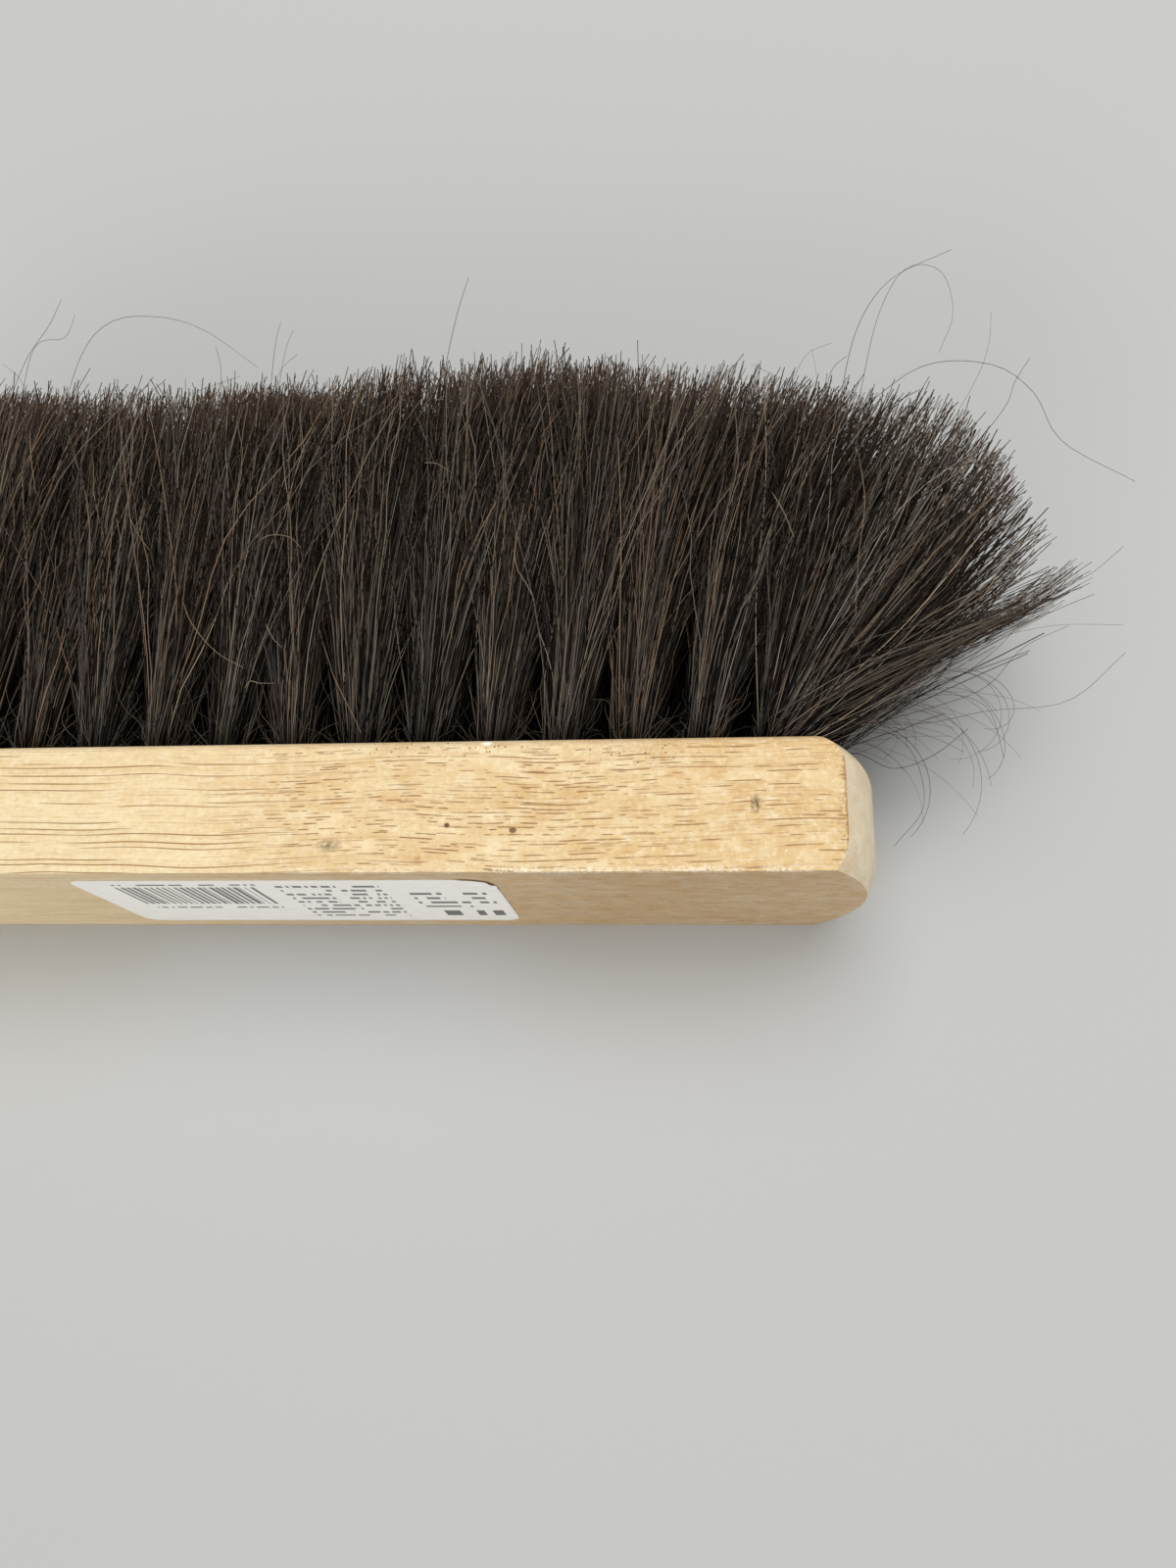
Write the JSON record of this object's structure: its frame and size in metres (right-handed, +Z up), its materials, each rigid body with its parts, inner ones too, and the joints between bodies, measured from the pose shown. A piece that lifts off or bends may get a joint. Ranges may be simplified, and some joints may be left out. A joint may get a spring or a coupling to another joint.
{
  "type": "bench brush",
  "caption": "Hand brush with a one-piece wooden block and handle and rows of dark horsehair tufts, for sweeping flour off a bench.",
  "frame": {"origin": "middle of the block's side face, which the brush rests on", "axes": "+X towards the nose, +Y the way the bristles point, +Z up across the block's width"},
  "size_m": [0.3806, 0.0957, 0.042],
  "materials": {
    "wood": "bare sanded rubberwood",
    "horsehair": "dark natural hair",
    "staple_wire": "bright flat wire",
    "label_paper": "printed white sticker"
  },
  "bodies": {
    "root": {"handle_block": "wood", "tuft_staples": "staple_wire", "label": "label_paper", "tufts_01": "horsehair", "tufts_02": "horsehair", "tufts_03": "horsehair", "tufts_04": "horsehair", "tufts_05": "horsehair", "tufts_06": "horsehair", "tufts_07": "horsehair", "tufts_08": "horsehair", "tufts_09": "horsehair", "tufts_10": "horsehair", "tufts_11": "horsehair", "tufts_12": "horsehair", "tufts_13": "horsehair", "tufts_14": "horsehair", "tufts_15": "horsehair", "tufts_16": "horsehair", "tufts_17": "horsehair"}
  },
  "joints": []
}
